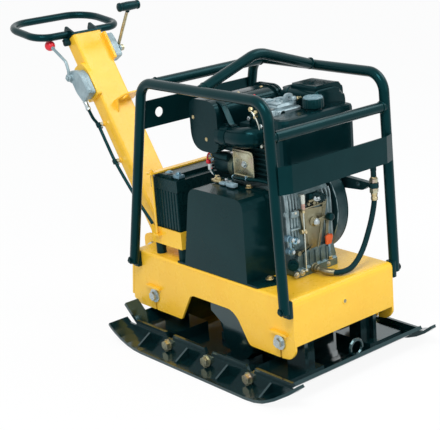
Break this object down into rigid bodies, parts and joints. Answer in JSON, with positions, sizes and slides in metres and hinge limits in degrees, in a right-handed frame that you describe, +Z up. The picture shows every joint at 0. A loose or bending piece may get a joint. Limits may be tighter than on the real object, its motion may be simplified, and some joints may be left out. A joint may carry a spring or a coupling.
{
  "type": "reversible plate compactor",
  "caption": "Reversible vibrating plate compactor with a diesel engine in a tube cage, a battery, a sprung upper mass and a hinged steering handle.",
  "frame": {"origin": "on the ground at the centre of the base plate's flat sole", "axes": "+X points to the machine's front, away from the handle, +Y to its left side and +Z up"},
  "size_m": [1.6964, 0.7346, 1.0987],
  "materials": {
    "yellow_paint": "gloss",
    "black_paint": "gloss",
    "engine_black": "painted satin",
    "engine_sheet": "gloss, a hollow vessel in the real one",
    "castings": "as cast",
    "zinc_steel": "zinc plated",
    "zinc_yellow": "yellow zinc plated steel",
    "rubber": "matt",
    "black_plastic": "satin"
  },
  "bodies": {
    "machine": {"deck_shell": "yellow_paint", "side_plate_right": "yellow_paint", "side_plate_left": "yellow_paint", "battery_tray": "yellow_paint", "battery_hold_down": "yellow_paint", "base_plate": "black_paint", "extension_plate_right": "black_paint", "extension_plate_left": "black_paint", "lower_belt_guard": "black_paint", "cage_hoop_right": "black_paint", "cage_hoop_left": "black_paint", "lifting_bar": "black_paint", "rear_crossbar": "black_paint", "front_crossbar": "black_paint", "front_panel": "black_paint", "rear_guard_plate": "black_paint", "belt_guard": "black_paint", "exciter_housing": "engine_black", "exciter_cover": "engine_black", "cylinder": "engine_black", "muffler": "engine_black", "fan_housing": "engine_black", "starter_motor": "engine_black", "fuel_tank": "engine_sheet", "air_cleaner": "engine_sheet", "crankcase": "castings", "rocker_cover": "castings", "extension_bolt_right_rear": "zinc_steel", "extension_bolt_right_middle": "zinc_steel", "extension_bolt_right_front": "zinc_steel", "extension_bolt_left_rear": "zinc_steel", "extension_bolt_left_middle": "zinc_steel", "extension_bolt_left_front": "zinc_steel", "mount_bolt_right_rear": "zinc_steel", "mount_bolt_right_front": "zinc_steel", "mount_bolt_left_rear": "zinc_steel", "mount_bolt_left_front": "zinc_steel", "pivot_pin": "zinc_steel", "engine_bracket": "zinc_yellow", "speed_control_plate": "zinc_yellow", "rubber_mount_right_rear": "rubber", "rubber_mount_right_front": "rubber", "rubber_mount_left_rear": "rubber", "rubber_mount_left_front": "rubber", "v_belt": "rubber", "drain_hose": "rubber", "battery": "black_plastic"},
    "handle": {"handle_column": "yellow_paint", "handle_loop": "black_paint", "control_cable": "rubber", "right_control": "castings", "left_control": "castings"},
    "exciter_front": {"eccentric_shaft_front": "zinc_steel"},
    "exciter_rear": {"eccentric_shaft_rear": "zinc_steel"},
    "clutch": {"clutch_pulley": "zinc_steel"},
    "throttle_hand_lever": {"right_lever": "zinc_steel"},
    "travel_lever": {"left_lever": "zinc_steel"},
    "engine_speed_lever": {"throttle_lever": "black_plastic"},
    "fuel_filler": {"fuel_cap": "black_plastic"},
    "oil_filler": {"oil_filler_cap": "black_plastic"}
  },
  "joints": [
    {"name": "handle_pivot", "type": "hinge", "parent": "machine", "child": "handle", "pos_m": [-0.485, 0, 0.262], "axis": [0, 1, 0], "range_deg": [0, 32]},
    {"name": "exciter_front_spin", "type": "hinge", "parent": "machine", "child": "exciter_front", "pos_m": [0.08, 0, 0.098], "axis": [0, 1, 0], "continuous": true},
    {"name": "exciter_rear_spin", "type": "hinge", "parent": "machine", "child": "exciter_rear", "pos_m": [-0.032, 0, 0.098], "axis": [0, 1, 0], "continuous": true},
    {"name": "clutch_spin", "type": "hinge", "parent": "machine", "child": "clutch", "pos_m": [0.08, 0, 0.475], "axis": [0, 1, 0], "continuous": true},
    {"name": "right_lever_turn", "type": "hinge", "parent": "handle", "child": "throttle_hand_lever", "pos_m": [-0.88359, 0, 0.84499], "axis": [0, 1, 0], "range_deg": [-30, 0]},
    {"name": "left_lever_turn", "type": "hinge", "parent": "handle", "child": "travel_lever", "pos_m": [-0.86423, 0, 0.92184], "axis": [0, 1, 0], "range_deg": [-20, 20]},
    {"name": "throttle_lever_turn", "type": "hinge", "parent": "machine", "child": "engine_speed_lever", "pos_m": [0.2483, 0.012, 0.467], "axis": [1, 0, 0], "range_deg": [-18, 18]},
    {"name": "fuel_cap_turn", "type": "hinge", "parent": "machine", "child": "fuel_filler", "pos_m": [0.215, 0.06, 0.824], "axis": [0, 0, 1], "range_deg": [0, 90]},
    {"name": "oil_cap_turn", "type": "hinge", "parent": "machine", "child": "oil_filler", "pos_m": [0.214, -0.062, 0.352], "axis": [0.7071, -0.7071, 0], "range_deg": [0, 180]}
  ],
  "couplings": [
    {"joint": "exciter_rear_spin", "follows": "exciter_front_spin", "ratio": -1},
    {"joint": "clutch_spin", "follows": "exciter_front_spin", "ratio": 0.8842}
  ]
}
